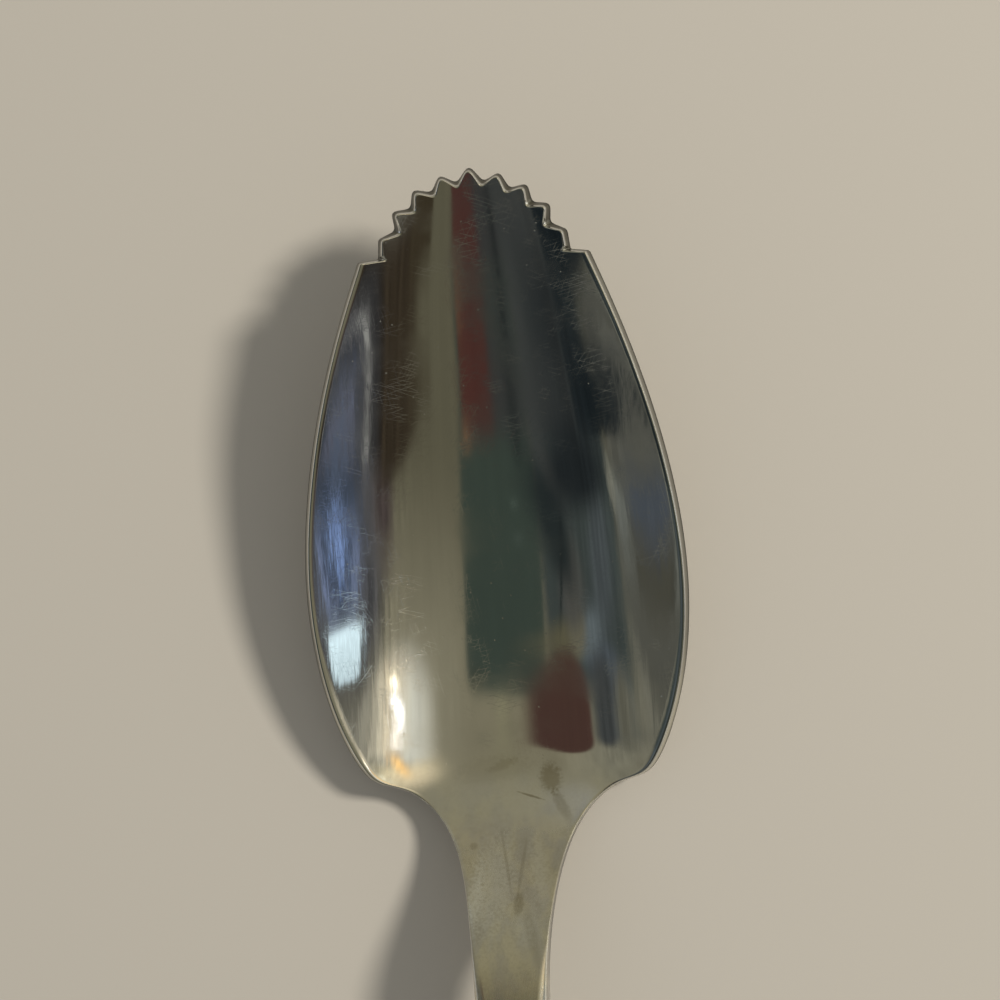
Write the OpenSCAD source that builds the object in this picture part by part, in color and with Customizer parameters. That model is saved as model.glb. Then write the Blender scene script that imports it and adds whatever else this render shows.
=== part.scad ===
// Grapefruit spoon: a narrow, deep bowl pressed from sheet steel, with teeth cut round its tip.
// It lies bowl up on z = 0, on the belly of the bowl and the end of the handle, its tip towards +y.
// The spoon is one piece of metal. It is drawn in four lengths, which meet face to face.

/* [Overall] */
// Overall length, from the middle tooth to the end of the handle
spoon_l = 160; // [145:1:180]

/* [Bowl] */
// Greatest width of the bowl
bowl_w = 31.6; // [28:0.2:35]
// Distance from the middle tooth to the corners at the bowl's heel
bowl_l = 50.3; // [46:0.1:54]
// Depth of the trough below its edges, at the widest place
bowl_deep = 6.6; // [5:0.1:8]
// Height of the floor at the tip above the lowest place of the floor
tip_rise = 12.4; // [8:0.1:15]
// Thickness of the steel in the bowl
sheet_t = 1; // [0.8:0.05:1.3]
// Rounding of the edges of the bowl
edge_round = 0.2; // [0.1:0.02:0.3]

/* [Teeth] */
// Number of teeth, always odd so that one stands on the middle line
tooth_count = 9; // [7:2:9]
// Radius of the arc on which the tips of the teeth lie
teeth_r = 8.1; // [7.4:0.1:8.8]
// Angle from one tooth to the next, seen from the middle of that arc
tooth_pitch = 17.25; // [16:0.25:18]
// Depth of the notches between the teeth
tooth_deep = 0.95; // [0.6:0.05:1.2]
// Width of the blunt tip of a tooth and of the bottom of a notch
tooth_blunt = 0.26; // [0.16:0.02:0.36]
// How far the middle tooth stands out past the arc
middle_proud = 0.25; // [0:0.05:0.4]

/* [Shoulders] */
// Width across the two square shoulders behind the teeth
shoulder_w = 18.9; // [17.5:0.1:21]
// How far a shoulder's front edge leans back, from the last notch to its corner
shoulder_lean = 0.28; // [0.1:0.02:0.6]

/* [Neck] */
// Length from the corners of the heel to the narrowest place of the neck
heel_l = 17.7; // [15:0.1:21]
// Width of the neck at its narrowest place
neck_w = 6; // [5:0.1:7.5]
// Thickness of the neck
neck_t = 2.6; // [2:0.1:3.2]
// Height of the neck's top above the lowest place of the floor
neck_rise = 9.6; // [7:0.1:12]

/* [Handle] */
// Greatest width of the handle, near its end
handle_w = 17.4; // [14:0.2:21]
// Thickness of the handle towards its end
handle_t = 2; // [1.6:0.1:2.6]
// How much the top of the handle arches up past the neck
arch_rise = 1; // [0:0.1:2.5]
// Width of the sloping border along the top edges of the handle
border_w = 1.1; // [0.6:0.05:1.5]
// Depth of that sloping border
border_deep = 0.75; // [0.4:0.05:0.9]

/* [Hidden] */

steel_bright = [0.74, 0.75, 0.75];
steel_warm = [0.68, 0.68, 0.64];

// Depth of the flats under the belly of the bowl and the end of the handle, on which it rests
rest_flat = 0.1;
// Step over which a slope is measured
probe = sheet_t / 100;

// Cells from the middle line to an edge, and steps along each span of the outline
cells = 10;
steps = 3;

neck_at = bowl_l + heel_l;
handle_l = spoon_l - neck_at;
bowl_half = bowl_w / 2;
neck_half = neck_w / 2;
handle_half = handle_w / 2;

// Middle of the arc of teeth, and the last notch, where the shoulders start
arc_at = teeth_r + middle_proud;
last_tooth = (tooth_count - 1) / 2;
last_notch_share = 0.63;
notch_angle = (last_tooth + last_notch_share) * tooth_pitch;
shoulder_at = arc_at - teeth_r * cos(notch_angle) + shoulder_lean;
corner = [shoulder_w / 2, shoulder_at];

// Outline of the side and heel corner: [share of half the bowl's width, share of its length]
side_shares = [
    [0.753, 0.266], [0.892, 0.408], [0.984, 0.557], [1.011, 0.692], [0.972, 0.819],
    [0.877, 0.922], [0.782, 0.982], [0.709, 1.001],
];
// Outline of the heel: [share of the way out from neck to bowl, share of the heel's length]
heel_shares = [
    [0.492, 0.025], [0.344, 0.09], [0.203, 0.203], [0.109, 0.35], [0.047, 0.525],
    [0.008, 0.746], [-0.004, 1],
];
// Outline of the handle: [share of the way out from neck to handle, share of the handle's length]
handle_shares = [
    [-0.01, 0.06], [0.02, 0.15], [0.125, 0.27], [0.3, 0.4], [0.52, 0.54], [0.75, 0.685],
    [0.95, 0.8], [1.05, 0.89], [0.98, 0.958],
];
// Half-width of the round end, between its last two outline points
end_share = 0.65;

// The form of the trough at equal steps from the tip to the neck's narrowest place, with one more
// row before and after: [share of half the bowl's width, share of the rise to the tip, share of
// the bowl's depth]
form_shares = [
    [0.27, 1.17, 0.2], [0.41, 1, 0.3], [0.56, 0.825, 0.42], [0.7, 0.665, 0.6], [0.82, 0.51, 0.8],
    [0.92, 0.355, 0.94], [0.985, 0.215, 1], [1, 0.11, 1], [1, 0.035, 0.96], [1, 0, 0.91],
    [1, 0, 0.88], [1, 0, 0.8], [1, 0, 0.4], [1, 0, 0.02], [1, 0, 0], [1, 0, 0],
];
form_rows = len(form_shares) - 3;
// Height of the wall at equal steps outwards from the middle, as a share of the bowl's depth
wall_shares = [
    0.01, 0, 0.01, 0.035, 0.12, 0.27, 0.49, 0.75, 0.98, 1.12, 1.2, 1.235, 1.25, 1.25, 1.25, 1.25,
];
wall_step_share = 0.15;
// Where the climb to the neck starts and ends, as shares of the heel's length
climb_from_share = -0.2;
climb_to_share = 1;

// The handle's middle line at equal steps over the spoon's whole length, with one more row before
// and after: [share of the arch, share of the fall to the table]
spine_shares = [
    [0, 0], [0, 0], [0, 0], [0, 0], [0, 0], [0, 0], [0, 0], [0, 0], [0.42, 0], [0.86, 0.01],
    [1.1, 0.05], [1, 0.14], [0.7, 0.29], [0.4, 0.48], [0.17, 0.69], [0.04, 0.88], [0, 1],
    [0, 1], [0, 1], [0, 1],
];
spine_rows = len(spine_shares) - 3;

// Where the thickness and the border change, as shares of the heel and of the handle
thick_from_share = -0.1;
thick_to_share = 0.8;
thin_to_share = 0.55;
border_from_share = 0.6;
border_to_share = 0.14;

// A smooth curve through the rows of a table, at a place counted in rows from the second one
function curve(rows, place) =
    let (i = min(max(floor(place), 0), len(rows) - 4), f = min(place - i, 1))
    ((1 - f) ^ 3 * rows[i] + (3 * f ^ 3 - 6 * f ^ 2 + 4) * rows[i + 1]
        + (-3 * f ^ 3 + 3 * f ^ 2 + 3 * f + 1) * rows[i + 2] + f ^ 3 * rows[i + 3]) / 6;

// 0 before from, 1 after to, and a smooth rise between
function ease(t, from, to) =
    let (f = min(max((t - from) / (to - from), 0), 1)) f ^ 3 * (10 - 15 * f + 6 * f ^ 2);
function mix(a, b, f) = a + (b - a) * f;

// Every place is [x, t], where x runs across the spoon and t back from the middle tooth.
function thickness(t) = mix(
    mix(sheet_t, neck_t,
        ease(t, bowl_l + thick_from_share * heel_l, bowl_l + thick_to_share * heel_l)),
    handle_t, ease(t, neck_at, neck_at + thin_to_share * handle_l));
function border(t) =
    ease(t, bowl_l + border_from_share * heel_l, neck_at + border_to_share * handle_l);

// Height of the spoon before its handle falls to the table
function raw_height(x, t) = let (
        form = curve(form_shares, t / neck_at * form_rows),
        wall = curve(wall_shares, x / (bowl_half * form[0]) / wall_step_share),
        climb = ease(t, bowl_l + climb_from_share * heel_l, bowl_l + climb_to_share * heel_l),
        spine = curve(spine_shares, t / spoon_l * spine_rows))
    form[1] * tip_rise + form[2] * bowl_deep * wall + climb * neck_rise + spine[0] * arch_rise;
lowest = min([for (share = [0.5 : 0.01 : 1.05]) raw_height(0, share * bowl_l)]);

// Height of the upper surface over the table, where both flats are cut a little into the steel
lift = sheet_t - rest_flat - lowest;
neck_top = lift + neck_rise;
function height(p) = lift + raw_height(abs(p[0]), p[1])
    - curve(spine_shares, p[1] / spoon_l * spine_rows)[1] * (neck_top - handle_t + rest_flat);

function slope_along(p, way) = (height(p + way * probe) - height(p - way * probe)) / (2 * probe);
// Height of the under surface, which is cut flat where the spoon rests
function under_height(p) = max(0, height(p)
    - thickness(p[1]) * norm([1, slope_along(p, [1, 0]), slope_along(p, [0, 1])]));

// Every rib runs from the middle line to the edge. Ribs fan round the tip and round the handle's
// end, and stand square to the middle line between.
fan_at_share = 0.26;
fan_from_share = 0.1;
end_fan_share = 0.87;
end_fan_squeeze = 0.5;
function spine_place(t) = let (
        fan_at = fan_at_share * bowl_l,
        fan_from = fan_from_share * bowl_l,
        end_at = neck_at + end_fan_share * handle_l)
    t < fan_at ? mix(fan_from, fan_at, t / fan_at) : t > end_at ? mix(end_at, t, end_fan_squeeze) : t;

// The teeth, from the middle one outwards: [place on the edge, where its rib starts]
notch_fan_share = 0.95;
function tooth_point(angle, r) = [[r * sin(angle), arc_at - r * cos(angle)],
    mix(spine_place(0), spine_place(shoulder_at), notch_fan_share * angle / notch_angle)];
blunt_angle = asin(tooth_blunt / 2 / teeth_r);
teeth_edge = concat(
    [for (angle = [0, blunt_angle]) tooth_point(angle, arc_at)],
    [for (i = [1 : 2 * last_tooth], side = [-1, 1])
        tooth_point(i / 2 * tooth_pitch + side * blunt_angle, i % 2 == 0 ? teeth_r : teeth_r - tooth_deep)],
    [tooth_point(notch_angle, teeth_r)]);

// The rest of the outline, from the shoulder's corner to the end of the handle
outline_points = concat(
    [corner, corner, corner],
    [for (s = side_shares) [s[0] * bowl_half, s[1] * bowl_l]],
    [for (s = heel_shares) [mix(neck_half, bowl_half, s[0]), bowl_l + s[1] * heel_l]],
    [for (s = handle_shares) [mix(neck_half, handle_half, s[0]), neck_at + s[1] * handle_l]],
    [for (s = [end_share, 0, -end_share]) [s * handle_half, spoon_l]]);
outline_last = (len(outline_points) - 3) * steps;
outline_edge = [for (i = [0 : outline_last])
    let (p = curve(outline_points, i / steps)) [p, spine_place(p[1])]];

// One rib, as a ring of points from the middle of the upper surface, over the edge, to the
// middle of the under surface
function rib(edge) = let (
        from = [0, edge[1]],
        reach = norm(edge[0] - from),
        way = (edge[0] - from) / reach,
        t = edge[0][1],
        lean = atan(max(slope_along(edge[0], way), 0)),
        thick = thickness(t),
        top_in = mix(edge_round, border_w, border(t)),
        top_down = mix(edge_round, border_deep, border(t)),
        rim = reach - (thick - edge_round) * sin(lean),
        rim_z = height(from + way * rim),
        up_reach = rim - top_in * cos(lean),
        under_reach = reach + edge_round * (sin(lean) - cos(lean)),
        up = [for (k = [0 : cells]) let (p = from + way * up_reach * sin(90 * k / cells))
            [p[0], p[1], height(p)]],
        side = [for (down = [top_down, thick - edge_round])
            let (p = from + way * (rim + down * sin(lean))) [p[0], p[1], rim_z - down * cos(lean)]],
        under = [for (k = [cells : -1 : 0]) let (p = from + way * under_reach * sin(90 * k / cells))
            [p[0], p[1], under_height(p)]])
    concat(up, side, under);

// A length of the spoon between its ribs. The first rib is a flat cut. The last one is either
// a flat cut too, or lies on the middle line and closes the form.
module spoon_length(edges) {
    closes = abs(edges[len(edges) - 1][0][0]) < probe;
    to_tip = edges[0][0][1] > edges[len(edges) - 1][0][1];
    ribs = [for (edge = edges) rib(edge)];
    k_last = len(ribs[0]) - 1;
    ring = 2 * k_last;
    j_last = len(ribs) - 1;
    function placed(p, side) = [side * p[0], spoon_l / 2 - p[1], p[2]];
    points = [for (j = [0 : j_last]) each concat(
        [for (p = ribs[j]) placed(p, 1)],
        closes && j == j_last ? [] : [for (k = [1 : k_last - 1]) placed(ribs[j][k], -1)])];
    function at(j, k, left) = j * ring
        + (!left || k == 0 || k == k_last || (closes && j == j_last) ? k : k_last + k);
    // Quads above the edge are split one way and those below the other, so that every triangle
    // next to the middle line of a closing rib keeps a corner off that line.
    skin = [for (j = [0 : j_last - 1], k = [0 : k_last - 1], left = [false, true])
        let (a = at(j, k, left), b = at(j, k + 1, left),
            c = at(j + 1, k + 1, left), d = at(j + 1, k, left),
            halves = k > cells ? [[a, b, c], [a, c, d]] : [[a, b, d], [b, c, d]])
        each left == to_tip ? halves : [for (h = halves) [h[0], h[2], h[1]]]];
    caps = [for (j = closes ? [0] : [0, j_last], k = [0 : cells], left = [false, true])
        let (a = at(j, k, left), b = at(j, k + 1, left),
            c = at(j, k_last - 1 - k, left), d = at(j, k_last - k, left))
        each (left == to_tip) == (j == 0) ? [[a, c, b], [a, d, c]] : [[a, b, c], [a, c, d]]];
    polyhedron(points, concat(skin, caps));
}

// Places of the cuts between the lengths, counted along the outline
tip_cut = 2 * steps;
heel_cut = 14 * steps;
neck_cut = 18 * steps;
function outline_from(a, b) = [for (i = [a : b < a ? -1 : 1 : b]) outline_edge[i]];
function backwards(rows) = [for (i = [len(rows) - 1 : -1 : 0]) rows[i]];

module serrated_tip() {
    color(steel_bright) spoon_length(concat(outline_from(tip_cut, 0), backwards(teeth_edge)));
}

module bowl() {
    color(steel_bright) spoon_length(outline_from(tip_cut, heel_cut));
}

module neck() {
    color(steel_warm) spoon_length(outline_from(heel_cut, neck_cut));
}

module handle() {
    color(steel_warm) spoon_length(outline_from(neck_cut, outline_last));
}

serrated_tip();
bowl();
neck();
handle();
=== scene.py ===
import math

import bpy
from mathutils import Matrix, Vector, kdtree


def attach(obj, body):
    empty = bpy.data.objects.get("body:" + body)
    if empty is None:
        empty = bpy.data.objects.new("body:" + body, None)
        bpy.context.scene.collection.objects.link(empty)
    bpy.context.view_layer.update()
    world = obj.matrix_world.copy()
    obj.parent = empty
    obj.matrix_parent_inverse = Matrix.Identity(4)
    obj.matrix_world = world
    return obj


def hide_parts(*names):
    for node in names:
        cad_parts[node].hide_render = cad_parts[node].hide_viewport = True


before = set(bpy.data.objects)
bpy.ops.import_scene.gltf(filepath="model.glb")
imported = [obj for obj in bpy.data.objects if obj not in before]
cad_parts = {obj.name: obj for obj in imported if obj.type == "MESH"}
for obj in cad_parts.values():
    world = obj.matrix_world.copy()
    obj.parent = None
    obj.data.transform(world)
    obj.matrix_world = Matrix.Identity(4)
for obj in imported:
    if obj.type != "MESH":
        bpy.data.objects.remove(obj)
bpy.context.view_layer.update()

mm = 0.001                        # in Blender's metres
probe = 0.01                      # mm, the step for measuring a slope


# the camera

view = {
    "target": (0.67, 53.03, 7),   # mm, what the middle of the picture shows
    "distance": 300,
    "toRight": 6,                 # degrees that the camera stands to the spoon's right
    "toHandle": -0.23,
    "roll": 2.77,
    "pictureWidth": 82.2,         # mm across the picture at the target
    "sensor": 36,
    "clip": (0.01, 10),           # metres
}


def addCamera(s):
    right, back = math.radians(s["toRight"]), math.radians(s["toHandle"])
    away = Vector((math.sin(right) * math.cos(back), -math.sin(back),
                   math.cos(right) * math.cos(back)))
    target = Vector(s["target"]) * mm
    bpy.ops.object.camera_add(location=target + away * s["distance"] * mm)
    camera = bpy.context.object
    upright = (Vector((0, 1, 0)) - away * away.y).normalized()
    side = upright.cross(away)
    roll = math.radians(s["roll"])
    up = upright * math.cos(roll) + side * math.sin(roll)
    across = up.cross(away)
    camera.matrix_world = [
        (across.x, up.x, away.x, camera.location.x),
        (across.y, up.y, away.y, camera.location.y),
        (across.z, up.z, away.z, camera.location.z),
        (0, 0, 0, 1)]
    camera.matrix_world.transpose()
    camera.data.sensor_width = s["sensor"]
    camera.data.lens = s["sensor"] * s["distance"] / s["pictureWidth"]
    camera.data.clip_start, camera.data.clip_end = s["clip"]
    bpy.context.scene.camera = camera
    return camera


camera = addCamera(view)
print("camera at", list(camera.location))


# the spoon's form, in mm: x runs across the spoon, t back from the middle tooth

spoon = {
    "length": 160,
    "bowlWidth": 31.6,
    "bowlLength": 50.3,
    "bowlDepth": 6.6,
    "tipRise": 12.4,
    "sheet": 1,
    "edgeRound": 0.2,
    "wornIn": 0.4,                # the worn upper edge: its width and its depth
    "wornDown": 0.16,
    "wornCorner": 0.75,           # its width at the heel's corners, and where it grows and ends
    "cornerSpan": (36, 45, 50, 53),
    "wornTeeth": 0.12,            # its width at the teeth, and where it grows to the full width
    "teethSpan": (5.5, 8),
    "heelLength": 17.7,
    "neckWidth": 6,
    "neckThick": 2.6,
    "neckRise": 9.6,
    "handleWidth": 17.4,
    "handleThick": 2,
    "archRise": 1,
    "borderWidth": 1,
    "borderDeep": 0.75,
    "restFlat": 0.1,
}
teeth = {
    "count": 9,
    "radius": 8.1,
    "pitch": 17.25,
    "deep": 0.7,
    "slant": 0.26,                # how much deeper the notches are on the upper side
    "blunt": 0.36,                # half the rounding of a tooth, with the shares for the others
    "middleBlunt": 1.3,
    "notchBlunt": 0.8,
    "middleProud": 0.25,
    "lastBlunt": 0.6,
    "lastNotch": 0.63,            # share of the pitch after the last tooth
    "lastDeep": 0.12,
    "lastNotchBlunt": 0.12,
    "notchStart": 0.95,           # where its rib starts, on the way to the shoulder's
    "shoulderBlunt": 0.2,
    "shoulderSlant": 0.7,         # the shoulder's bevel, as a share of slant
    "shoulderWidth": 18.9,
    "shoulderLean": 0.28,
}
detail = {
    "cells": 44,                  # points from the middle line to the edge
    "underCells": 30,
    "edgeCells": 6,               # points round each edge
    "flankSteps": 7,              # along each side of a tooth
    "cornerSteps": 5,             # round each tooth
    "outlineSteps": 14,           # along each span of the outline
}

neckAt = spoon["bowlLength"] + spoon["heelLength"]
handleLength = spoon["length"] - neckAt
bowlHalf = spoon["bowlWidth"] / 2
neckHalf, handleHalf = spoon["neckWidth"] / 2, spoon["handleWidth"] / 2
arcAt = teeth["radius"] + teeth["middleProud"]
lastTooth = (teeth["count"] - 1) // 2
notchAngle = math.radians((lastTooth + teeth["lastNotch"]) * teeth["pitch"])
shoulderAt = arcAt - teeth["radius"] * math.cos(notchAngle) + teeth["shoulderLean"]
corner = (teeth["shoulderWidth"] / 2, shoulderAt)

# outline of the side and heel corner: share of half the bowl's width, share of its length
sideShares = [(0.753, 0.266), (0.892, 0.408), (0.984, 0.557), (1.011, 0.692), (0.972, 0.819),
              (0.877, 0.922), (0.782, 0.982), (0.709, 1.001)]
# outline of the heel: share of the way out from neck to bowl, share of the heel's length
heelShares = [(0.492, 0.025), (0.344, 0.09), (0.203, 0.203), (0.109, 0.35), (0.047, 0.525),
              (0.008, 0.746), (-0.004, 1)]
# outline of the handle: share of the way out from neck to handle, share of its length
handleShares = [(-0.01, 0.06), (0.02, 0.15), (0.125, 0.27), (0.3, 0.4), (0.52, 0.54), (0.75, 0.685),
                (0.95, 0.8), (1.05, 0.89), (0.98, 0.958)]
endShare = 0.65                   # of half the handle's width, at its round end
# form of the trough from tip to neck: share of half the width, of the rise to the tip, of the depth
formShares = [(0.27, 1.17, 0.2), (0.41, 1, 0.3), (0.56, 0.825, 0.42), (0.7, 0.665, 0.6),
              (0.82, 0.51, 0.8), (0.92, 0.355, 0.94), (0.985, 0.215, 1), (1, 0.11, 1),
              (1, 0.035, 0.96), (1, 0, 0.91), (1, 0, 0.88), (1, 0, 0.8), (1, 0, 0.4), (1, 0, 0.02),
              (1, 0, 0), (1, 0, 0)]
# height of the wall from the middle outwards: share of the depth
wallShares = [(s,) for s in (0.01, 0, 0.01, 0.035, 0.12, 0.27, 0.49, 0.75, 0.98, 1.12, 1.2, 1.235,
                             1.25, 1.25, 1.25, 1.25)]
wallStep = 0.15                   # share of the bowl's half-width between two rows of wallShares
climbFrom, climbTo = -0.2, 1      # shares of the heel's length
# where the thickness and the border change: shares of the heel's and of the handle's length
thickFrom, thickTo, thinAt = -0.1, 0.8, 0.55
borderFrom, borderTo = 0.52, 0.05
# where ribs fan round the tip and round the handle's end: shares of the bowl's and handle's length
fanFrom, fanTo, endFrom = 0.1, 0.26, 0.87
# the cut edge from its upper corner down: share of the way, share of the cut's darker finish, which
# past 1 is painted shade on the lower rim
cutRows = [(0.12, 0.4), (0.3, 1), (0.72, 1.25), (1, 2)]
wornCut = 0.3                     # share of that finish on the worn edge above it
# middle line over the whole length: share of the arch, of the fall to the table
spineShares = [(0, 0)] * 8 + [(0.42, 0), (0.86, 0.01), (1.1, 0.05), (1, 0.14), (0.7, 0.29),
                              (0.4, 0.48), (0.17, 0.69), (0.04, 0.88)] + [(0, 1)] * 4


def mix(a, b, share):
    return a + (b - a) * share


def mixPoint(a, b, share):
    return tuple(mix(p, q, share) for p, q in zip(a, b))


def ease(t, start, end):
    f = min(max((t - start) / (end - start), 0), 1)
    return f ** 3 * (10 - 15 * f + 6 * f * f)


def curve(rows, place):
    # smooth curve through the rows of a table
    i = min(max(math.floor(place), 0), len(rows) - 4)
    f = min(place - i, 1)
    a, b, d = (1 - f) ** 3, 3 * f ** 3 - 6 * f * f + 4, f ** 3
    c = -3 * f ** 3 + 3 * f * f + 3 * f + 1
    return [(a * p + b * q + c * r + d * s) / 6 for p, q, r, s in zip(*rows[i:i + 4])]


def thickness(t):
    heel, length = spoon["heelLength"], spoon["bowlLength"]
    grown = ease(t, length + thickFrom * heel, length + thickTo * heel)
    inNeck = mix(spoon["sheet"], spoon["neckThick"], grown)
    return mix(inNeck, spoon["handleThick"], ease(t, neckAt, neckAt + thinAt * handleLength))


def borderShare(t):
    return ease(t, spoon["bowlLength"] + borderFrom * spoon["heelLength"],
                neckAt + borderTo * handleLength)


def rawHeight(x, t):
    width, rise, deep = curve(formShares, t / neckAt * (len(formShares) - 3))
    wall = curve(wallShares, abs(x) / (bowlHalf * width) / wallStep)[0]
    heel, length = spoon["heelLength"], spoon["bowlLength"]
    climb = ease(t, length + climbFrom * heel, length + climbTo * heel)
    arch, fallen = curve(spineShares, t / spoon["length"] * (len(spineShares) - 3))
    z = rise * spoon["tipRise"] + deep * spoon["bowlDepth"] * wall
    return z + climb * spoon["neckRise"] + arch * spoon["archRise"], fallen


# the floor's lowest place sets how far the spoon is lifted and how far its handle falls
lowest = min(rawHeight(0, k / 100 * spoon["bowlLength"])[0] for k in range(50, 106))
lift = spoon["sheet"] - spoon["restFlat"] - lowest
fall = lift + spoon["neckRise"] - spoon["handleThick"] + spoon["restFlat"]


def height(x, t):
    z, fallen = rawHeight(x, t)
    return lift + z - fallen * fall


def underHeight(x, t):
    across = (height(x + probe, t) - height(x - probe, t)) / (2 * probe)
    along = (height(x, t + probe) - height(x, t - probe)) / (2 * probe)
    return max(0, height(x, t) - thickness(t) * math.hypot(1, across, along))


def spinePlace(t):
    # where on the middle line the rib to an edge point starts
    fanStart, fanEnd = fanFrom * spoon["bowlLength"], fanTo * spoon["bowlLength"]
    endStart = neckAt + endFrom * handleLength
    if t < fanEnd:
        return mix(fanStart, fanEnd, t / fanEnd)
    return mix(endStart, t, 0.5) if t > endStart else t


def bend(a, b, c, steps):
    # points of a rounded corner at b, from a to c
    rows = []
    for k in range(steps + 1):
        f = k / steps
        rows.append(mixPoint(mixPoint(a, b, f), mixPoint(b, c, f), f))
    return rows


def toothEdge():
    # from the middle tooth to the shoulder's corner: (x, t), start of the rib, share of a notch
    deep, blunt, radius = teeth["deep"], teeth["blunt"], teeth["radius"]
    pitch = math.radians(teeth["pitch"])
    run = radius * pitch / 2 - blunt

    def polar(angle, r):
        return (r * math.sin(angle), arcAt - r * math.cos(angle))

    def notchShare(i, gone, ahead):
        # how far the upper edge stands back: most at the notches and at the shoulder
        if i >= 2 * lastTooth:
            bevelled = i > 2 * lastTooth and (i < len(corners) - 1 or not ahead)
            return teeth["shoulderSlant"] * bevelled
        return 1 - min(gone, 1) if i % 2 else min(gone, 1)

    # sharp corners of the zigzag: tips stand out past the blunt tips, and notches lie deeper
    reachTip = blunt * math.hypot(1, deep / run)
    out = deep / run * blunt / 2
    proud = deep + teeth["middleProud"]
    middleOut = teeth["middleBlunt"] * reachTip * proud / math.hypot(run + blunt, proud) / 2
    tips = [(0, arcAt + middleOut)]
    for i in range(1, 2 * lastTooth + 1):
        inner = radius - deep - teeth["notchBlunt"] * out
        tips.append((i / 2 * pitch, inner if i % 2 else radius + out))
    corners = [polar(*tip) for tip in tips]
    corners += [polar(notchAngle, radius - teeth["lastDeep"]), corner]

    def cutAt(i):
        if i >= len(corners) - 2:
            return teeth["shoulderBlunt" if i == len(corners) - 1 else "lastNotchBlunt"]
        shares = {0: teeth["middleBlunt"], 2 * lastTooth: teeth["lastBlunt"]}
        return reachTip * shares.get(i, teeth["notchBlunt"] if i % 2 else 1)

    start = spinePlace(0)
    notchStart = mix(start, spinePlace(shoulderAt), teeth["notchStart"])
    starts = [mix(start, notchStart, angle / notchAngle) for angle, r in tips]
    starts += [notchStart, spinePlace(shoulderAt)]
    after = curve(outlinePoints, outlineAhead)
    rows = []
    for i, here in enumerate(corners):
        ahead = corners[i + 1] if i + 1 < len(corners) else after
        behind = corners[i - 1] if i else (-corners[1][0], corners[1][1])
        bendFrom = mixPoint(here, behind, cutAt(i) / math.dist(here, behind))
        bendTo = mixPoint(here, ahead, cutAt(i) / math.dist(here, ahead))
        for place in bend(bendFrom, here, bendTo, detail["cornerSteps"] - 1):
            gone = math.dist(here, place)
            near = ahead if math.dist(place, bendTo) < math.dist(place, bendFrom) else behind
            toward = i + 1 if near is ahead else i - 1
            if 0 <= toward < len(starts):
                ribFrom = mix(starts[i], starts[toward], 0.5 * gone / math.dist(here, near))
            else:
                ribFrom = starts[i]
            rows.append((place, ribFrom, notchShare(i, gone / math.dist(here, near), near is ahead)))
        if i + 1 < len(corners):
            flankEnd = mixPoint(ahead, here, cutAt(i + 1) / math.dist(here, ahead))
            total = math.dist(here, ahead)
            for k in range(1, detail["flankSteps"]):
                f = k / detail["flankSteps"]
                f = f - math.sin(2 * math.pi * f) / (2 * math.pi) * 0.5    # closer at both ends
                place = mixPoint(bendTo, flankEnd, f)
                gone = math.dist(here, place) / total
                rows.append((place, mix(starts[i], starts[i + 1], gone), notchShare(i, gone, True)))
    middle = detail["cornerSteps"] // 2
    return rows[middle:]


outlineFrom = 0.76                # the outline's curve leaves the shoulder's rounded corner here
outlineAhead = 0.75               # and that corner is rounded towards the curve's point here
outlinePoints = [corner] * 3
outlinePoints += [(s * bowlHalf, t * spoon["bowlLength"]) for s, t in sideShares]
outlinePoints += [(mix(neckHalf, bowlHalf, s), spoon["bowlLength"] + t * spoon["heelLength"])
                  for s, t in heelShares]
outlinePoints += [(mix(neckHalf, handleHalf, s), neckAt + t * handleLength)
                  for s, t in handleShares]
outlinePoints += [(s * handleHalf, spoon["length"]) for s in (endShare, 0, -endShare)]


def outlineEdge():
    spans = len(outlinePoints) - 3
    steps = detail["outlineSteps"]
    rows = []
    for k in range(1, spans * steps + 1):
        place = k / steps
        if place > outlineFrom:
            x, t = curve(outlinePoints, place)
            rows.append(((max(x, 0), t), spinePlace(t), 0))
    rows[-1] = ((0, spoon["length"]), spinePlace(spoon["length"]), 0)
    return rows


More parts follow.
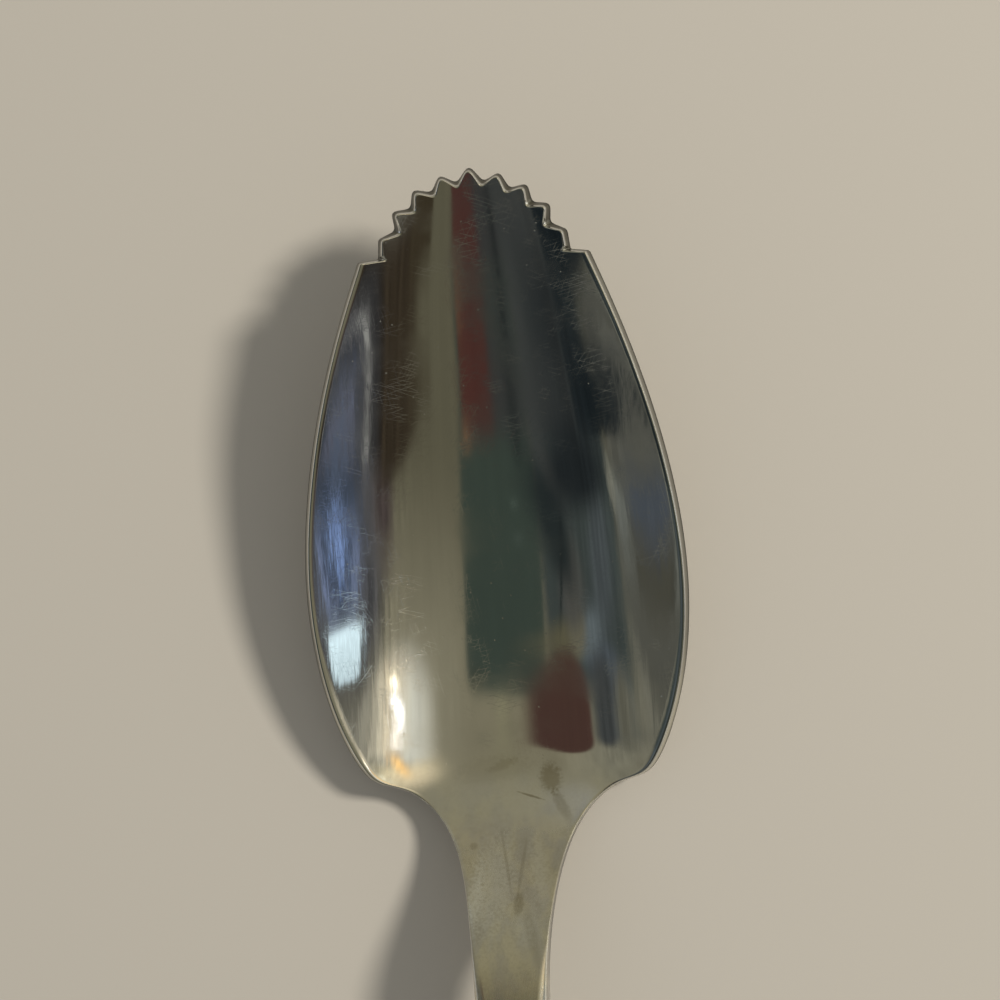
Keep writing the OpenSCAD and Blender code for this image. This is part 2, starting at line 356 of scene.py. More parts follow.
def rib(edge):
    # ring from the middle of the upper surface, over the edge, to the middle of the under surface:
    # x, y, z and a share that is 1 on the cut edge and 2 on its lower rim, where shade is painted
    # dark
    (x, t), start, notch = edge
    reach = math.dist((x, t), (0, start))
    way = (x / reach, (t - start) / reach)
    slope = (height(x + way[0] * probe, t + way[1] * probe)
             - height(x - way[0] * probe, t - way[1] * probe)) / (2 * probe)
    lean = math.atan(max(slope, 0))
    down, out = math.cos(lean), math.sin(lean)
    thick, border = thickness(t), borderShare(t)
    rounding = spoon["edgeRound"]
    grows, grown, fades, ends = spoon["cornerSpan"]
    atCorner = ease(t, grows, grown) * (1 - ease(t, fades, ends))
    worn = mix(spoon["wornIn"], spoon["wornCorner"], atCorner)
    worn = mix(spoon["wornTeeth"], worn, ease(t, *spoon["teethSpan"]))
    topIn = mix(worn, spoon["borderWidth"], border)
    topDown = mix(min(spoon["wornDown"], worn), spoon["borderDeep"], border)
    rim = reach - (thick - rounding) * out - teeth["slant"] * notch

    def above(r):
        return height(way[0] * r, start + way[1] * r)

    rimZ = above(rim)
    upReach = rim - topIn * down
    underReach = reach + rounding * (out - down)
    rows = []
    for k in range(detail["cells"] + 1):
        r = upReach * math.sin(math.pi / 2 * k / detail["cells"])
        rows.append((r, above(r), 0))
    # past the worn rim, down the cut, round the lower corner and in under the spoon
    cutFoot = (reach, above(reach - (thick - rounding) * out) - (thick - rounding) * down, 1)
    topEnd, rimCorner = rows[-1], (rim, rimZ, 0)
    cutTop = mixPoint(rimCorner, cutFoot, topDown / math.dist(rimCorner[:2], cutFoot[:2]))
    cut = 1 - border
    for k in range(1, detail["edgeCells"] + 1):
        f = k / detail["edgeCells"]
        rounded = mixPoint(mixPoint(topEnd, rimCorner, f), mixPoint(rimCorner, cutTop, f), f)
        r, up, _ = mixPoint(rounded, mixPoint(topEnd, cutTop, f), 0.5 * border)
        rows.append((r, up, ease(f, 0.5, 1) * wornCut * cut))
    for f, share in cutRows:
        r, up, _ = mixPoint(cutTop, cutFoot, f)
        rows.append((r, up, cut * share))
    lowCorner = (reach + rounding * out, cutFoot[1] - rounding * down)
    underEnd = (underReach, underHeight(way[0] * underReach, start + way[1] * underReach))
    # round the lower corner the share falls from 2, where the rim is painted dark as shade, to 0
    for k in range(1, detail["edgeCells"]):
        f = k / detail["edgeCells"]
        r, z = mixPoint(mixPoint(cutFoot[:2], lowCorner, f), mixPoint(lowCorner, underEnd, f), f)
        rows.append((min(r, reach), z, cut * 2 * (1 - f)))
    for k in range(detail["underCells"], -1, -1):
        r = underReach * math.sin(math.pi / 2 * k / detail["underCells"])
        rows.append((r, underHeight(way[0] * r, start + way[1] * r), 0))
    return [(way[0] * r, spoon["length"] / 2 - start - way[1] * r, max(z, 0), share)
            for r, z, share in rows]


def deselectAll():
    if bpy.context.mode != "OBJECT":
        bpy.ops.object.mode_set(mode="OBJECT")
    bpy.ops.object.select_all(action="DESELECT")


def pick(piece):
    deselectAll()
    piece.select_set(True)
    bpy.context.view_layer.objects.active = piece


def makeSpoon():
    ribs = [rib(edge) for edge in toothEdge() + outlineEdge()]
    across, along = len(ribs[0]) - 1, len(ribs) - 1
    deselectAll()
    bpy.ops.mesh.primitive_grid_add(x_subdivisions=across, y_subdivisions=along, size=2)
    half = bpy.context.object
    half.name = "wholeSpoon"
    cutShare = half.data.attributes.new("cutShare", "FLOAT", "POINT")
    for vertex in half.data.vertices:     # the sheet is laid round the form
        k = round((vertex.co.x + 1) / 2 * across)
        j = round((vertex.co.y + 1) / 2 * along)
        vertex.co = Vector(ribs[j][k][:3]) * mm
        cutShare.data[vertex.index].value = ribs[j][k][3]
    for vertex in half.data.vertices:     # the middle line lies exactly on x = 0
        if abs(vertex.co.x) < 1e-7:
            vertex.co.x = 0
    mirror = half.modifiers.new("otherSide", "MIRROR")
    mirror.use_axis = (True, False, False)
    mirror.merge_threshold = 1e-6
    bpy.ops.object.modifier_apply(modifier=mirror.name)
    bpy.ops.object.mode_set(mode="EDIT")
    bpy.ops.mesh.select_all(action="SELECT")
    bpy.ops.mesh.remove_doubles(threshold=1e-6)
    bpy.ops.mesh.dissolve_degenerate(threshold=1e-7)
    bpy.ops.mesh.normals_make_consistent(inside=False)
    bpy.ops.object.mode_set(mode="OBJECT")
    bpy.ops.object.shade_smooth()
    print("whole spoon:", len(half.data.vertices), "points,", len(half.data.polygons), "faces")
    return half


def cutLength(whole, name, fromT, toT):
    # a length of the spoon, between flat cuts square to its middle line
    pick(whole)
    bpy.ops.object.duplicate()
    piece = bpy.context.object
    piece.name = piece.data.name = name
    for t, keepsHandleSide in ((fromT, True), (toT, False)):
        if t is None:
            continue
        bpy.ops.object.mode_set(mode="EDIT")
        bpy.ops.mesh.select_all(action="SELECT")
        bpy.ops.mesh.bisect(
            plane_co=(0, (spoon["length"] / 2 - t) * mm, 0), plane_no=(0, 1, 0), threshold=1e-6,
            use_fill=True, clear_outer=keepsHandleSide, clear_inner=not keepsHandleSide)
        bpy.ops.object.mode_set(mode="OBJECT")
    return piece


def keepNormals(piece, whole, cuts):
    # the cut lengths keep the whole spoon's shading, so that no seam shows
    tree = kdtree.KDTree(len(whole.data.vertices))
    for vertex in whole.data.vertices:
        tree.insert(vertex.co, vertex.index)
    tree.balance()
    wholeNormals = [Vector(n.vector) for n in whole.data.vertex_normals]
    mesh = piece.data
    nearest = [wholeNormals[tree.find(vertex.co)[1]] for vertex in mesh.vertices]
    loops = [None] * len(mesh.loops)
    for face in mesh.polygons:
        isCut = abs(face.normal.y) > 0.999 and any(
            abs(face.center.y - (spoon["length"] / 2 - t) * mm) < 1e-6 for t in cuts)
        for loop in face.loop_indices:
            loops[loop] = face.normal.copy() if isCut else nearest[mesh.loops[loop].vertex_index]
    mesh.normals_split_custom_set(loops)


# materials

class Link:
    # a socket, for shader maths written as expressions
    def __init__(self, tree, socket):
        self.tree, self.socket = tree, socket

    def node(self, kind, settings=None, out=0, **inputs):
        made = self.tree.nodes.new(kind)
        for name, value in (settings or {}).items():
            setattr(made, name, value)
        for name, value in inputs.items():
            socket = made.inputs[int(name[1:])] if name[0] == "i" and name[1:].isdigit() else \
                made.inputs[name.replace("_", " ")]
            if isinstance(value, Link):
                self.tree.links.new(value.socket, socket)
            else:
                socket.default_value = value
        return Link(self.tree, made.outputs[out])

    def math(self, operation, other=0.0):
        return self.node("ShaderNodeMath", {"operation": operation}, i0=self, i1=other)

    def __add__(self, other):
        return self.math("ADD", other)

    def __sub__(self, other):
        return self.math("SUBTRACT", other)

    def __rsub__(self, other):
        return self.node("ShaderNodeMath", {"operation": "SUBTRACT"}, i0=other, i1=self)

    def __mul__(self, other):
        return self.math("MULTIPLY", other)

    def __truediv__(self, other):
        return self.math("DIVIDE", other)

    def __pow__(self, power):
        return self.math("POWER", power)

    def smooth(self, low, high):
        # 0 at low, 1 at high, and a smooth step between
        return self.node("ShaderNodeMapRange", {"interpolation_type": "SMOOTHSTEP"},
                         i0=self, i1=low, i2=high, i3=0.0, i4=1.0)

    def laid(self, place=(0, 0, 0), turn=0.0, size=(1, 1, 1)):
        # a pattern laid at a place, turned in the plane, and stretched
        return self.node("ShaderNodeMapping", {"vector_type": "TEXTURE"}, Vector=self,
                         Location=place, Rotation=(0, 0, math.radians(turn)), Scale=size)

    def blend(self, first, second):
        return self.node("ShaderNodeMix", {"data_type": "RGBA"}, out=2, i0=self, i6=first,
                         i7=second)

    def split(self):
        parts = self.node("ShaderNodeSeparateXYZ", i0=self).socket.node
        return [Link(self.tree, socket) for socket in parts.outputs]

    __radd__, __rmul__ = __add__, __mul__


steel = {
    "mirror": (0.63, 0.63, 0.615),
    "satin": (0.7, 0.67, 0.565),
    "satinGrey": (0.6, 0.585, 0.55),
    "cutEdge": (0.37, 0.365, 0.335),
    # painted highlight: a bright cream band on the cut at the heel's corners, for the bright room
    # they mirror
    "cornerSheen": (0.74, 0.72, 0.63),
    # painted shade: the teeth's cut faces, turned from the lamp, painted darker than the sides' cut
    "toothEdge": (0.19, 0.185, 0.165),
    # painted shade: the cut's lower rim, painted near-black as if over the shadowed table
    "rim": (0.03, 0.03, 0.027),
    "stain": (0.36, 0.33, 0.26),
    "pale": (0.84, 0.85, 0.83),
    "satinFrom": 47,              # mm back from the middle tooth, where the mirror finish fades
    "satinTo": 58,
    "mirrorRoughness": 0.055,
    "satinRoughness": 0.27,
    "edgeRoughness": 0.34,
    "hairline": 0.0009,           # depths in mm
    "drawLine": 0.005,
    "drawnFrom": (7.5, 10.5),     # how far out on the sides the drawn lines begin
    "pit": 0.006,
    "pitCells": 1.15,             # cells per mm, of which only some hold a pit
    "pitSize": (0.085, 0.03),
    "pitChance": (0.7, 0.72),
    "grain": 0.0012,
    "mirrorGrain": 0.0002,
    "wave": 0.012,
    "toothSpan": (10, 5),         # mm back from the middle tooth, where its edges' colours change
    "cornerFrom": (38, 45),
    "cornerTo": (56, 51),
    "dull": (0.35, 1),            # shares of the cut between which its finish turns dull
    "paleFade": (1.5, 0.2),       # shares of a spot's size between which it grows
    "stainFade": (1.25, 0.5),
    "ragged": 1.2,                # how far the speckle frays a spot's outline
}
# how much each noise stains the steel, and how much it roughens it
stainBy = {"smudge": 0.05, "tarnish": 0.16, "speckle": 0.7, "grain": 0.12}
roughenBy = {"smudge": 0.05, "patches": 0.03, "grain": 0.12}
# noises: scale per mm, detail, stretch, shift, and the values between which it steps from 0 to 1
noises = {
    "patches": (0.16, 1.0, (1, 1, 1), 31, (0.4, 0.62)),
    "short": (0.5, 1.0, (1, 1, 1), 7, (0.44, 0.6)),
    "grain": (1.0, 3.0, (0.09, 2.6, 0.5), 13, None),
    "speckle": (4.2, 2.0, (1, 1, 1), 23, None),
    "wave": (0.16, 0.0, (1, 2.2, 1), 53, None),
    "drawn": (1.0, 2.0, (0.5, 8, 1), 29, None),
    "smudge": (0.22, 4.0, (1, 1, 1), 71, (0.46, 0.68)),
    "mottle": (0.42, 3.0, (0.8, 1.5, 1), 91, (0.38, 0.62)),
    "tarnish": (0.9, 4.0, (1, 1, 1), 5, (0.45, 0.75)),
}
# fine lines: turn, width and length of the noise in mm, its shift, and how thin the lines are
hairlines = [(12, 0.5, 9, 3, 0.012), (-34, 0.6, 7, 17, 0.012), (71, 0.55, 6, 41, 0.012),
             (-78, 0.5, 8, 59, 0.01)]
rubbedLines = [(24, 0.24, 2.2, 83, 0.02), (-52, 0.26, 2, 97, 0.02)]
# the place that they cross most: middle and half-size, in mm
rubbedPlace = {"x": -9.3, "t": 37, "halfWidth": 2.6, "halfLength": 9, "fade": (1.5, 0.3)}
# how strong the lines are everywhere and in patches, and the finer ones in the rubbed place
lineShares = {"everywhere": 0.3, "patches": 0.7, "rubbed": 0.2, "rubbedShort": 0.4}
# stains at the heel: (x, t), (half-width, half-length) in mm, turn, strength
stains = [
    ((3.2, 50.4), (0.95, 1.3), 10, 0.75),
    ((4.1, 52.6), (0.5, 1.5), 30, 0.5),
    ((1.5, 51.8), (1.2, 0.1), -18, 0.85),
    ((0.7, 60.1), (0.45, 0.9), -6, 0.6),
    ((0.9, 57.4), (0.16, 2.4), -8, 0.35),
    ((-0.4, 57), (0.14, 2.6), 12, 0.35),
    ((-3.2, 55.6), (0.35, 0.3), 0, 0.5),
    ((-1.5, 49.5), (3.5, 1.2), 8, 0.2),
    ((1.8, 62.5), (0.5, 2.6), 14, 0.3),
    ((-0.8, 49.2), (1.6, 0.4), 20, 0.25),
]
# paler places on the neck
palePlaces = [
    ((-1.4, 58.6), (1.6, 3.4), -8, 0.55),
    ((-2.9, 59.4), (0.6, 2.6), -6, 0.6),
    ((2.3, 57.6), (0.7, 2.4), 12, 0.4),
    ((1.2, 61.5), (0.9, 1.8), 4, 0.25),
]


def newMaterial(name):
    material = bpy.data.materials.new(name)
    material.use_nodes = True
    tree = material.node_tree
    shader = tree.nodes["Principled BSDF"]
    return material, tree, shader


def fineLines(flat, turn, width, length, shift, thin):
    # long fine lines: where a stretched noise crosses its middle value
    laid = flat.laid((shift, -shift, 0), turn, (width, length, 1))
    noise = laid.node("ShaderNodeTexNoise", {"noise_dimensions": "2D"}, Vector=laid, Scale=1.0,
                      Detail=0.0)
    return (noise - 0.5).math("ABSOLUTE").smooth(thin, 0)


def steelMaterial(name, s):
    material, tree, shader = newMaterial(name)
    place = Link(tree, tree.nodes.new("ShaderNodeTexCoord").outputs["Object"])
    flat = place.node("ShaderNodeVectorMath", {"operation": "SCALE"}, i0=place, Scale=1000.0)
    x, y = flat.split()[:2]
    t = spoon["length"] / 2 - y
    satin = t.smooth(s["satinFrom"], s["satinTo"])
    cut = Link(tree, tree.nodes.new("ShaderNodeAttribute").outputs["Fac"])
    cut.socket.node.attribute_name = "cutShare"

    def noise(name):
        scale, detail, size, shift, step = noises[name]
        laid = flat.laid((shift, shift, shift), 0.0, size)
        made = laid.node("ShaderNodeTexNoise", Vector=laid, Scale=scale, Detail=detail)
        return made.smooth(*step) if step else made

    # hairlines from wiping and stacking, in patches, most of them short
    patches = noise("patches")
    hairs = sum(fineLines(flat, *line) for line in hairlines)
    fine = sum(fineLines(flat, *line) for line in rubbedLines)
    short = noise("short")
    rubbedFar = ((x - rubbedPlace["x"]) / rubbedPlace["halfWidth"]) ** 2 \
        + ((t - rubbedPlace["t"]) / rubbedPlace["halfLength"]) ** 2
    rubbed = rubbedFar.smooth(*rubbedPlace["fade"])
    hairs = hairs * short * (patches * lineShares["patches"] + rubbed + lineShares["everywhere"]) \
        + fine * rubbed * (short * lineShares["rubbedShort"] + lineShares["rubbed"])
    cells = flat.node("ShaderNodeTexVoronoi", {"feature": "F1"}, Vector=flat, Scale=s["pitCells"])
    chance = Link(tree, cells.socket.node.outputs["Color"]).split()[0]
    pits = cells.smooth(*s["pitSize"]) * chance.smooth(*s["pitChance"])
    grain = noise("grain") - 0.5
    speckle = noise("speckle") - 0.5
    wave = noise("wave")
    relief = hairs * (0 - s["hairline"]) - pits * s["pit"] + wave * s["wave"]
    relief = relief + grain * (satin * s["grain"] + s["mirrorGrain"]) \
        + speckle * (satin * s["grain"])
    # the steep sides keep fine lines from the pressing, along the spoon
    drawn = noise("drawn") * x.math("ABSOLUTE").smooth(*s["drawnFrom"])
    relief = relief + drawn * s["drawLine"]
    bump = relief.node("ShaderNodeBump", Strength=1.0, Distance=0.001, Height=relief)
    tree.links.new(bump.socket, shader.inputs["Normal"])

    # smudges, worn places and stains
    smudge = noise("smudge")
    mottle = noise("mottle")
    colour = satin.blend((*s["mirror"], 1), mottle.blend((*s["satin"], 1), (*s["satinGrey"], 1)))
    marks = smudge * stainBy["smudge"] + noise("tarnish") * satin * stainBy["tarnish"]

    def spots(places, outer, inner):
        total = 0.0
        for (u, v), size, turn, strength in places:
            near = flat.laid((u, spoon["length"] / 2 - v, 0), turn, (*size, 1))
            across, along = near.split()[:2]
            far = (across * across + along * along).math("SQRT") + speckle * s["ragged"]
            total = total + far.smooth(outer, inner) * strength
        return total

    colour = spots(palePlaces, *s["paleFade"]).math("MINIMUM", 1.0).blend(colour, (*s["pale"], 1))
    marks = marks + spots(stains, *s["stainFade"])
    marks = marks + (speckle * satin * stainBy["speckle"] + grain * satin * stainBy["grain"])
    colour = marks.math("MINIMUM", 1.0).math("MAXIMUM", 0.0).blend(colour, (*s["stain"], 1))
    # the cut's own dull grey, painted darker towards the teeth as shade where their cut faces turn
    # from the lamp
    edge = t.smooth(*s["toothSpan"]).blend((*s["cutEdge"], 1), (*s["toothEdge"], 1))
    # at the heel's corners the cut is painted bright cream: a painted highlight
    atCorner = t.smooth(*s["cornerFrom"]) * t.smooth(*s["cornerTo"])
    edge = atCorner.blend(edge, (*s["cornerSheen"], 1))
    dull = cut.smooth(*s["dull"])
    colour = dull.blend(colour, edge)
    # past a share of 1 the cut's lower rim is painted near-black: painted shade
    colour = (cut - 1).math("MAXIMUM", 0.0).blend(colour, (*s["rim"], 1))
    tree.links.new(colour.socket, shader.inputs["Base Color"])
    rough = satin * (s["satinRoughness"] - s["mirrorRoughness"]) + s["mirrorRoughness"]
    rough = rough + smudge * roughenBy["smudge"] + patches * roughenBy["patches"] \
        + grain * satin * roughenBy["grain"]
    rough = dull.node("ShaderNodeMix", {"data_type": "FLOAT"}, i0=dull, i2=rough,
                      i3=s["edgeRoughness"])
    tree.links.new(rough.socket, shader.inputs["Roughness"])
    shader.inputs["Metallic"].default_value = 1
    return material


# making the spoon

# the cuts lie where the outline's curve has its joins with these numbers
cutJoins = {"tip": 2, "heel": 14, "neck": 18}
cuts = {name: curve(outlinePoints, join)[1] for name, join in cutJoins.items()}
print("cuts at", cuts)

whole = makeSpoon()
bowlSteel = steelMaterial("bowlSteel", steel)
handleSteel = steelMaterial("handleSteel", steel)
lengths = [
    ("toothedTip", "serrated_tip", None, cuts["tip"], "bowl_steel", bowlSteel),
    ("bowlBody", "bowl", cuts["tip"], cuts["heel"], "bowl_steel", bowlSteel),
    ("neckStem", "neck", cuts["heel"], cuts["neck"], "handle_steel", handleSteel),
    ("handleBlade", "handle", cuts["neck"], None, "handle_steel", handleSteel),
]
for name, node, fromT, toT, slot, material in lengths:
    piece = cutLength(whole, name, fromT, toT)
    keepNormals(piece, whole, list(cuts.values()))
    piece.data.materials.clear()
    piece.data.materials.append(material)
    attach(piece, "root")
    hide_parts(node)
    print(name, len(piece.data.polygons), "faces")
bpy.data.objects.remove(whole)


# table, lamp, and the room that the steel mirrors

room = {
    "tableColour": (0.5, 0.46, 0.39),
    "tableSize": 4,
    "tableRoughness": 0.9,
    "tableSpecular": 0.1,
    "skyColour": (0.97, 0.99, 1),
    "skyStrength": 0.395,
    "keyStrength": 0.62,          # what the key lamp adds on the table
    "keyColour": (1, 0.965, 0.91),
    "keyFrom": (0.92, 0.385),     # towards the lamp, in the picture: right, up
    "keyHeight": 44,
    "keySize": 0.16,
    "keyDistance": 0.9,
    "keyOver": (0, 0.05, 0),      # the place on the table from which it stands at that distance
    "domeRadius": 2.5,
    "domeColour": (0.32, 0.295, 0.205),
    "streaks": 0.8,               # how far the streaks lighten and darken it
    "streakSize": (1.6, 15),      # degrees
    "streakSteps": (0.3, 0.7),    # values of their noise between which they turn from dark to light
    "streakSides": ((24, 50, 0.9), (-24, -50, 0.35)),   # how far right or left they grow, to what
    "streakLeast": 0.1,
}
# panels of the room over the spoon, by how far they lean from straight up, in degrees:
# (to the right, to the tip), (half-width, half-height), turn, softness, colour
roundPanels, squarePanels = 2, 8
panels = [
    (roundPanels, [
        ((-62, 20), (30, 60), 0, 0.5, (0.25, 0.24, 0.18)),
        ((88, 0), (11, 70), 0, 0.4, (1.6, 1.55, 1.35)),
        ((-90, 15), (8, 45), 0, 0.4, (0.9, 1.0, 1.2)),
        ((-70, 22), (11, 20), 0, 0.5, (0.19, 0.165, 0.11)),
        ((-6, 40), (14, 60), 0, 0.6, (0.26, 0.235, 0.155)),
        ((0, -62), (110, 40), 0, 0.45, (0.14, 0.13, 0.085)),
        ((32, 10), (17, 13), -38, 0.6, (0.8, 0.7, 0.46)),
        ((47, 10), (15, 1.6), -56, 0.6, (1.3, 1.25, 0.95)),
        ((30, 16), (12, 9), -38, 0.7, (1.2, 1.02, 0.68)),
        ((38.7, -5), (13.3, 6), 0, 0.9, (0.6, 0.57, 0.45)),
        ((33, -2.5), (10, 6.5), -14, 0.9, (0.9, 0.89, 0.76)),
        ((57, 32), (9, 13), 0, 0.5, (1.5, 1.4, 1.1)),
        ((66, -5), (6, 10), 0, 0.3, (0.15, 0.13, 0.09)),
        ((-77, -5), (5, 11), 0, 0.3, (0.15, 0.13, 0.09)),
        ((56, -27), (9, 19), 0, 0.5, (0.105, 0.105, 0.11)),
        ((61, -30), (5, 14), 0, 0.5, (0.085, 0.11, 0.16)),
        ((45, -32), (5, 9), 0, 0.6, (0.09, 0.07, 0.065)),
        ((-70, -24), (8, 20), 0, 0.3, (0.12, 0.12, 0.1)),
        ((-15, 36), (5, 24), 2, 0.6, (0.18, 0.155, 0.095)),
        ((-6, 34), (1.2, 42), 2, 0.6, (0.33, 0.31, 0.19)),
        ((-6, 46), (40, 30), 0, 0.7, (0.33, 0.31, 0.22)),
        ((-6, 82), (60, 15), 0, 0.6, (0.34, 0.31, 0.225)),
        ((-24, 52), (11, 16), 0, 0.7, (0.36, 0.355, 0.31)),
    ]),
    (squarePanels, [
        ((-38, -22.5), (24, 17), 0, 0.1, (0.06, 0.074, 0.07)),
        ((-6.5, -21.5), (7.5, 16.5), -4, 0.05, (0.055, 0.075, 0.06)),
        ((48, -42), (5, 6), 0, 0.3, (0.05, 0.05, 0.05)),
        ((32, -42), (16, 6), 13, 0.16, (0.05, 0.038, 0.024)),
        ((22, -44.1), (9, 6), 0, 0.1, (0.055, 0.043, 0.025)),
        ((-8, -41), (6.5, 5), 0, 0.08, (0.05, 0.052, 0.051)),
        ((-30, -39.7), (17, 3.6), 0, 0.06, (0.055, 0.06, 0.058)),
        ((-11.5, -39.5), (0.6, 5), -4, 0.3, (0.016, 0.02, 0.02)),
        ((-59.5, -39.7), (13, 3.8), 0, 0.08, (0.014, 0.02, 0.023)),
        ((-81, -40), (8, 4.2), 0, 0.1, (0.062, 0.064, 0.06)),
        ((-4.4, -37.5), (3.1, 1.45), 0, 0.12, (0.095, 0.036, 0.029)),
        ((59.2, -14.2), (3.9, 3.7), 0, 0.1, (1.0, 1.25, 1.35)),
        ((0, -58), (90, 15), 0, 0.06, (0.24, 0.23, 0.19)),
    ]),
    (roundPanels, [
        ((-66, -57), (17, 9), 0, 0.5, (1.5, 1.42, 1.15)),
        ((66, -57), (17, 9), 0, 0.5, (1.1, 1.05, 0.85)),
        ((-25, -12.5), (13, 2.6), 6, 0.6, (0.14, 0.13, 0.08)),
        ((-46, -9), (10, 3.5), -8, 0.6, (0.1, 0.12, 0.14)),
        ((-40, -13.5), (8, 3), 14, 0.6, (0.15, 0.18, 0.19)),
        ((-31, -13), (5, 3), 10, 0.6, (0.2, 0.185, 0.12)),
        ((-30, -19), (7, 6), 0, 0.6, (0.1, 0.1, 0.09)),
        ((-50, -22), (6, 8), -20, 0.6, (0.09, 0.105, 0.11)),
        ((-22, -27), (11, 5), -32, 0.5, (0.025, 0.033, 0.033)),
        ((-24, -33), (9, 1.6), -18, 0.6, (0.075, 0.08, 0.075)),
        ((-24.5, -22), (0.7, 8.5), -24, 0.6, (0.02, 0.025, 0.025)),
        ((-1.8, -35.7), (0.55, 0.5), 0, 0.4, (0.4, 0.22, 0.1)),
        ((53.4, -38), (0.8, 1.3), 8, 0.6, (0.32, 0.32, 0.3)),
        ((-9.6, -29.5), (0.45, 0.5), 0, 0.5, (0.13, 0.17, 0.14)),
        ((-9.7, -25.4), (0.45, 0.5), 0, 0.5, (0.12, 0.15, 0.13)),
        ((-0.6, -7), (1.4, 1.1), 30, 0.7, (0.05, 0.06, 0.045)),
        ((-40, -33), (19, 4.5), 0, 0.5, (0.02, 0.025, 0.027)),
        ((-62.5, -30.6), (2, 3.9), 16, 0.35, (0.26, 0.26, 0.21)),
        ((-66, -25.8), (2.5, 6), 12, 0.6, (0.17, 0.18, 0.16)),
        ((-72, -26.5), (3, 6), 10, 0.6, (0.085, 0.1, 0.12)),
        ((-70.5, -20), (2.6, 5.5), 10, 0.7, (0.08, 0.078, 0.06)),
        ((-43.8, -6), (7, 4.5), 0, 0.5, (0.064, 0.07, 0.07)),
        ((-55, -4.5), (4, 4.5), 0, 0.6, (0.17, 0.165, 0.125)),
        ((-22.2, -3.2), (13.4, 7.2), 0, 0.12, (0.087, 0.047, 0.037)),
        ((60.5, -26), (0.7, 6), 2, 0.7, (0.28, 0.42, 0.8)),
        ((63, -31), (0.7, 8), -2, 0.7, (0.18, 0.24, 0.5)),
        ((58.4, -40), (0.7, 4), 6, 0.6, (0.17, 0.18, 0.24)),
        ((57.5, -24), (0.6, 5), 0, 0.7, (0.2, 0.25, 0.4)),
        ((38.5, 4), (2.4, 11), 28, 0.8, (1.5, 0.95, 0.38)),
        ((42, -7), (6, 4), 0, 0.9, (1, 0.88, 0.64)),
        ((41.8, -8.35), (2.2, 0.55), -12, 0.8, (5, 4.3, 3.1)),
        ((40.3, -5.9), (3, 0.38), -12, 0.8, (7, 7, 6.9)),
    ]),
]


def addTable(s):
    deselectAll()
    bpy.ops.mesh.primitive_plane_add(size=s["tableSize"], location=(0, 0, 0))
    table = bpy.context.object
    table.name = "table"
    material, tree, shader = newMaterial("tableTop")
    shader.inputs["Base Color"].default_value = (*s["tableColour"], 1)
    shader.inputs["Roughness"].default_value = s["tableRoughness"]
    shader.inputs["Specular IOR Level"].default_value = s["tableSpecular"]
    table.data.materials.append(material)


def addLights(s):
    turned = camera.matrix_world.to_3x3()
    inPicture = turned @ Vector((s["keyFrom"][0], s["keyFrom"][1], 0))
    flat = Vector((inPicture.x, inPicture.y, 0)).normalized()
    high = math.radians(s["keyHeight"])
    away = flat * math.cos(high) + Vector((0, 0, math.sin(high)))
    place = away * s["keyDistance"] + Vector(s["keyOver"])
    bpy.ops.object.light_add(type="AREA", location=place)
    key = bpy.context.object
    key.data.shape = "DISK"
    key.data.size = s["keySize"]
    key.data.color = s["keyColour"]
    # an area lamp of this energy lights a white table to keyStrength
    key.data.energy = s["keyStrength"] * math.pi ** 2 * s["keyDistance"] ** 2 / math.sin(high)
    key.rotation_euler = away.to_track_quat("Z", "Y").to_euler()
    key.visible_glossy = False
    world = bpy.data.worlds.new("softRoom")
    bpy.context.scene.world = world
    world.use_nodes = True
    background = world.node_tree.nodes["Background"]
    background.inputs["Color"].default_value = (*s["skyColour"], 1)
    background.inputs["Strength"].default_value = s["skyStrength"]


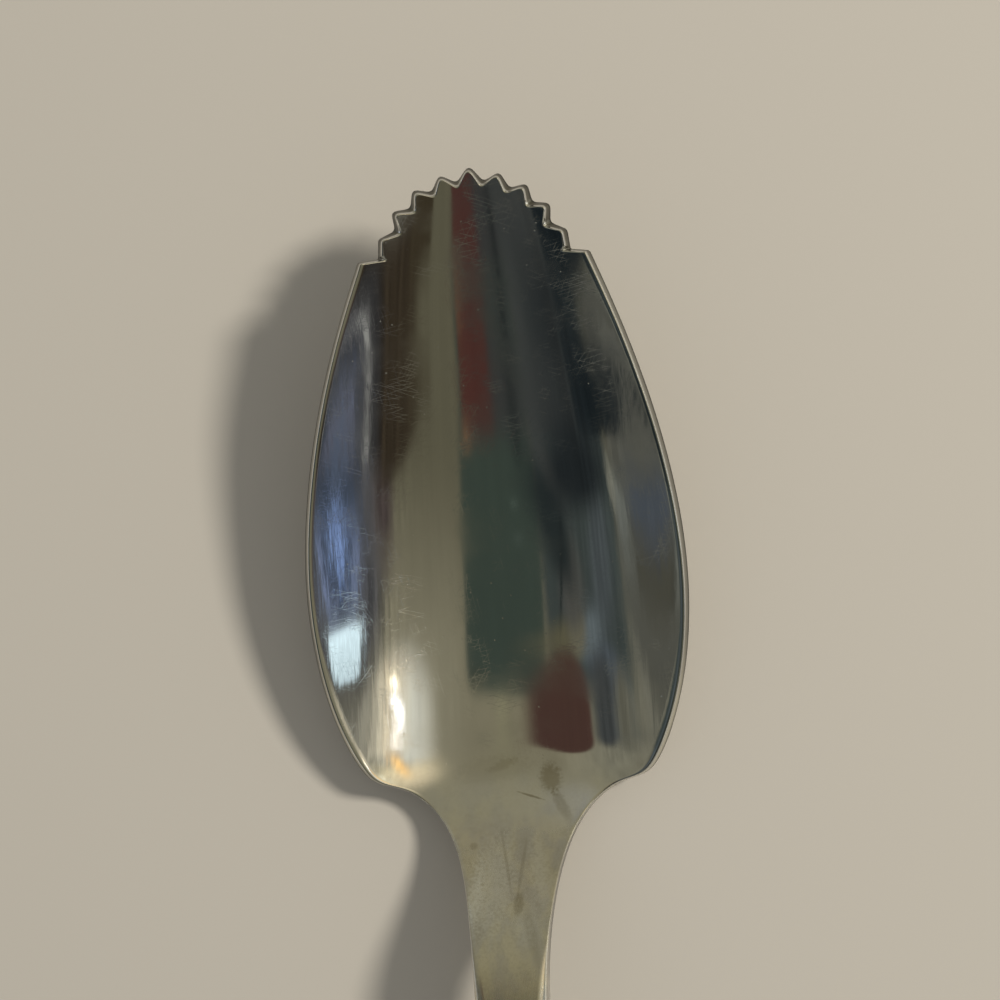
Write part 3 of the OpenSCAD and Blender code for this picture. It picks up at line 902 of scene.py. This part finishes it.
def addDome(s):
    # only the steel sees it: panels of a quiet room, as cards round a photographer's table
    deselectAll()
    bpy.ops.mesh.primitive_uv_sphere_add(segments=48, ring_count=24, radius=s["domeRadius"])
    dome = bpy.context.object
    dome.name = "roomPanels"
    material, tree, shader = newMaterial("roomPanels")
    tree.nodes.remove(shader)
    place = Link(tree, tree.nodes.new("ShaderNodeTexCoord").outputs["Object"])
    place = place.node("ShaderNodeVectorMath", {"operation": "NORMALIZE"}, i0=place)
    x, y, z = place.split()
    fromTop = z.math("ARCCOSINE") * (180 / math.pi)
    level = (x * x + y * y).math("SQRT").math("MAXIMUM", 0.0001)
    right, ahead = x / level * fromTop, y / level * fromTop
    leaning = right.node("ShaderNodeCombineXYZ", i0=right, i1=ahead)
    colour = leaning.node("ShaderNodeRGB")
    colour.socket.default_value = (*s["domeColour"], 1)
    for corners, group in panels:
        for (u, v), (halfWidth, halfHeight), turn, soft, tint in group:
            near = leaning.laid((u, v, 0), turn, (halfWidth, halfHeight, 1))
            sides = near.node("ShaderNodeVectorMath", {"operation": "ABSOLUTE"}, i0=near).split()
            far = (sides[0] ** corners + sides[1] ** corners) ** (1 / corners)
            colour = far.smooth(1 + soft, 1 - soft).blend(colour, (*tint, 1))
    # long soft streaks over all of it, as curtains and folds give
    streaks = leaning.laid(size=(*s["streakSize"], 1))
    streaks = streaks.node("ShaderNodeTexNoise", {"noise_dimensions": "2D"}, Vector=streaks,
                           Scale=1.0, Detail=2.0)
    bySide = [right.smooth(start, end) * strength for start, end, strength in s["streakSides"]]
    some = bySide[0] + bySide[1] + s["streakLeast"]
    brightness = (streaks.smooth(*s["streakSteps"]) - 0.5) * some * s["streaks"] + 1.0
    colour = colour.node("ShaderNodeVectorMath", {"operation": "SCALE"}, i0=colour,
                         Scale=brightness)
    light = colour.node("ShaderNodeEmission", Color=colour, Strength=1.0)
    tree.links.new(light.socket, tree.nodes["Material Output"].inputs["Surface"])
    dome.data.materials.append(material)
    dome.visible_camera = dome.visible_diffuse = dome.visible_shadow = False
    dome.visible_transmission = dome.visible_volume_scatter = False


addTable(room)
addLights(room)
addDome(room)
print("table, lamp, sky and", sum(len(group) for corners, group in panels), "room panels")
bpy.context.scene.view_settings.view_transform = "Standard"
